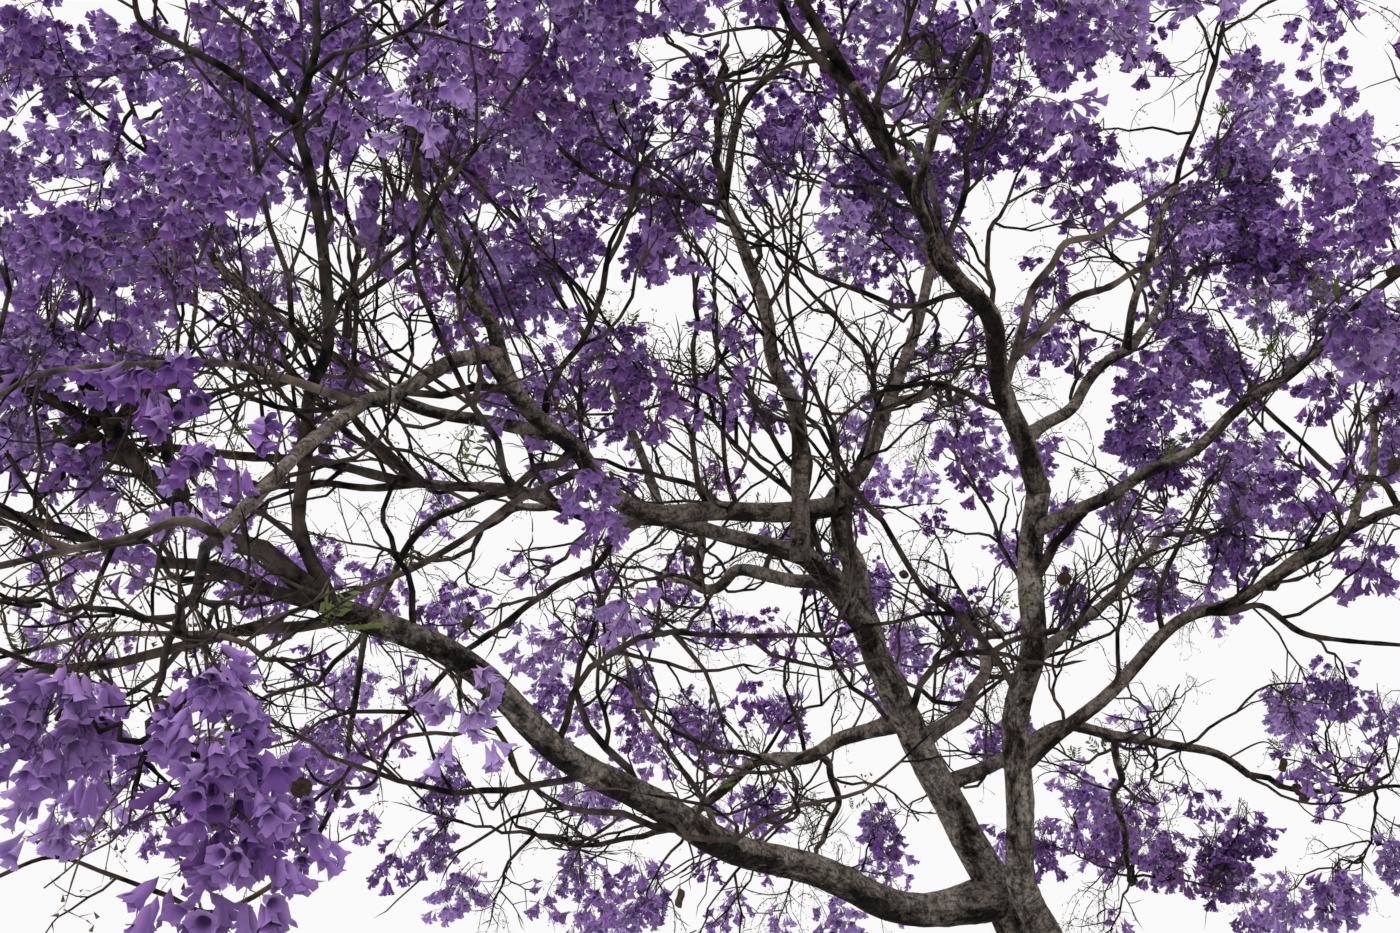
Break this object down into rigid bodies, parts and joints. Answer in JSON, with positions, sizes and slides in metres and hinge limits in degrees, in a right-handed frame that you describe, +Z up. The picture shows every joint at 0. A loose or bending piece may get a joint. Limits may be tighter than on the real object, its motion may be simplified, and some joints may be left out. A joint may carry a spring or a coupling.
{
  "type": "jacaranda tree",
  "caption": "Small spreading jacaranda tree in full violet blossom, almost leafless: leaning trunk with root flare, crooked boughs and open blossom masses.",
  "frame": {"origin": "centre of the flat cut at ground level, under the trunk", "axes": "+Z up; +X to the right and +Y away from the viewer of the picture, which looks up into the crown"},
  "size_m": [6.7037, 6.2921, 7.2891],
  "materials": {
    "bark": "grey-brown bark, finely wrinkled, matt",
    "dead_wood": "bare weathered wood, matt",
    "blossom": "soft violet petals, slightly translucent"
  },
  "bodies": {
    "root": {"trunk": "bark", "leader": "bark", "right_stem": "bark", "long_bough": "bark", "centre_bough": "bark", "left_fork": "bark", "near_bough": "bark", "upper_bough": "bark", "left_bough": "bark", "high_bough": "bark", "right_crown": "bark", "near_left_bough": "bark", "near_high_bough": "bark", "near_out_bough": "bark", "back_left_bough": "bark", "back_high_bough": "bark", "back_bough": "bark", "right_low_bough": "bark", "right_bough": "bark", "right_out_bough": "bark", "front_right_bough": "bark", "right_high_bough": "bark", "right_top_bough": "bark", "right_up_bough": "bark", "front_bough": "bark", "left_low_bough": "bark", "left_back_bough": "bark", "left_high_bough": "bark", "back_low_bough": "bark", "back_right_bough": "bark", "back_top_bough": "bark", "upper_back_bough": "bark", "dead_stub": "dead_wood", "blossom_near_left_low": "blossom", "blossom_near_left": "blossom", "blossom_near_left_high": "blossom", "blossom_near_left_top": "blossom", "blossom_left_low": "blossom", "blossom_left": "blossom", "blossom_left_back": "blossom", "blossom_left_high": "blossom", "blossom_back_left": "blossom", "blossom_back_low": "blossom", "blossom_back_high": "blossom", "blossom_back_top": "blossom", "blossom_back": "blossom", "blossom_back_right": "blossom", "blossom_upper_back": "blossom", "blossom_right_low": "blossom", "blossom_right_mid": "blossom", "blossom_right_out": "blossom", "blossom_right_up": "blossom", "blossom_right_high": "blossom", "blossom_front_right": "blossom", "blossom_right_top": "blossom", "blossom_front": "blossom", "blossom_near_top": "blossom", "blossom_high": "blossom", "blossom_top": "blossom"}
  },
  "joints": []
}
